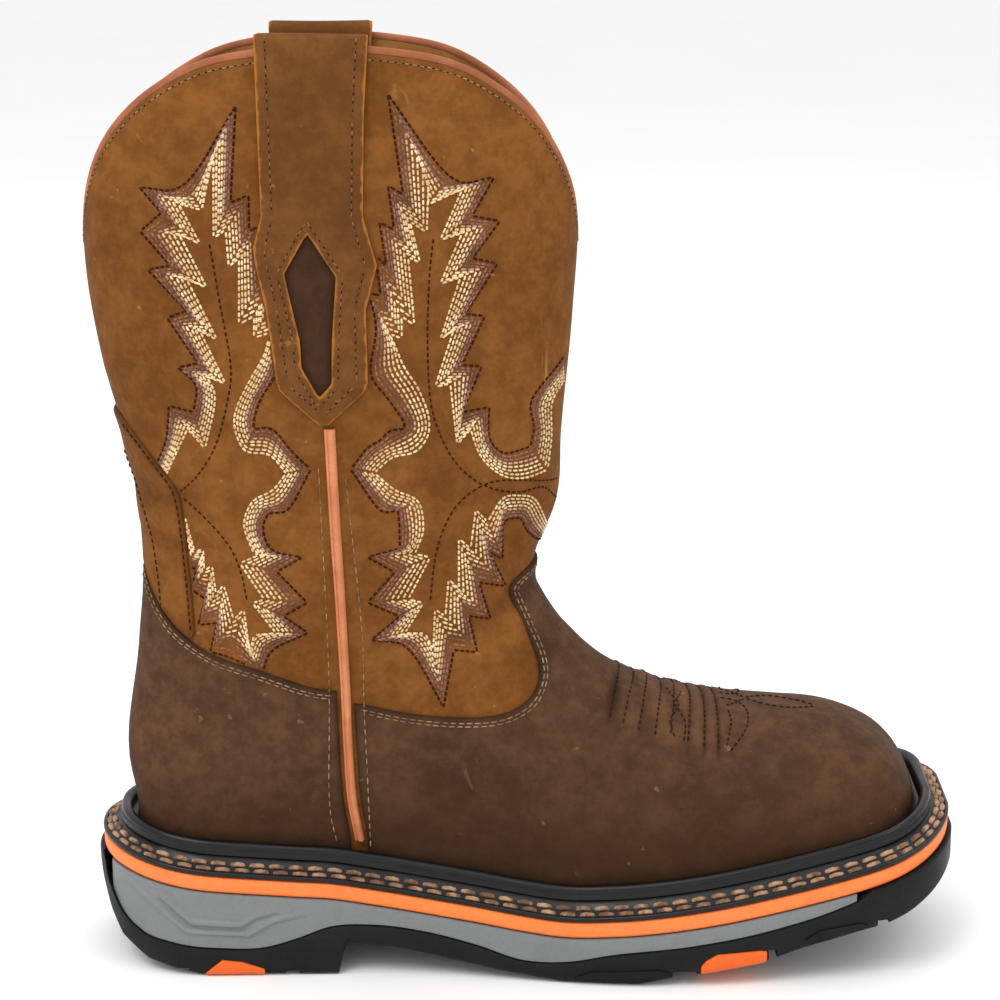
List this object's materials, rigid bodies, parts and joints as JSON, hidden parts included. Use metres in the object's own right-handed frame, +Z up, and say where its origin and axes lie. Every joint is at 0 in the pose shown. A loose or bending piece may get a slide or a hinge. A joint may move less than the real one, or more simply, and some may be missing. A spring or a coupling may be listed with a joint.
{
  "type": "western work boot",
  "caption": "Right pull-on western work boot: tall scalloped leather shaft with pull straps and a broad square toe, hollow for the foot, on a welted sole with a lugged tread.",
  "frame": {"origin": "on the floor, under the middle of the boot's outline", "axes": "+X from the heel to the toe, +Y towards the inner (medial) side of the foot, +Z up"},
  "size_m": [0.3148, 0.1156, 0.3313],
  "materials": {
    "black_rubber": "matte",
    "grey_rubber": "satin",
    "orange_band": "satin",
    "orange_insert": "satin",
    "tan_leather": "matte",
    "dark_brown_leather": "matte",
    "strap_leather": "matte",
    "salmon_piping": "matte",
    "insole_board": "matte"
  },
  "bodies": {
    "root": {"outsole": "black_rubber", "midsole": "grey_rubber", "midsole_band": "orange_band", "welt": "black_rubber", "insole": "insole_board", "upper": "tan_leather", "vamp": "dark_brown_leather", "counter": "dark_brown_leather", "back_stay": "tan_leather", "collar_binding": "salmon_piping", "side_piping_lateral": "salmon_piping", "side_piping_medial": "salmon_piping", "pull_strap_lateral": "strap_leather", "pull_strap_medial": "strap_leather", "strap_inlay_lateral": "dark_brown_leather", "strap_inlay_medial": "dark_brown_leather", "heel_insert_lateral": "orange_insert", "heel_insert_medial": "orange_insert", "forefoot_insert_lateral": "orange_insert", "forefoot_insert_medial": "orange_insert"}
  },
  "joints": []
}
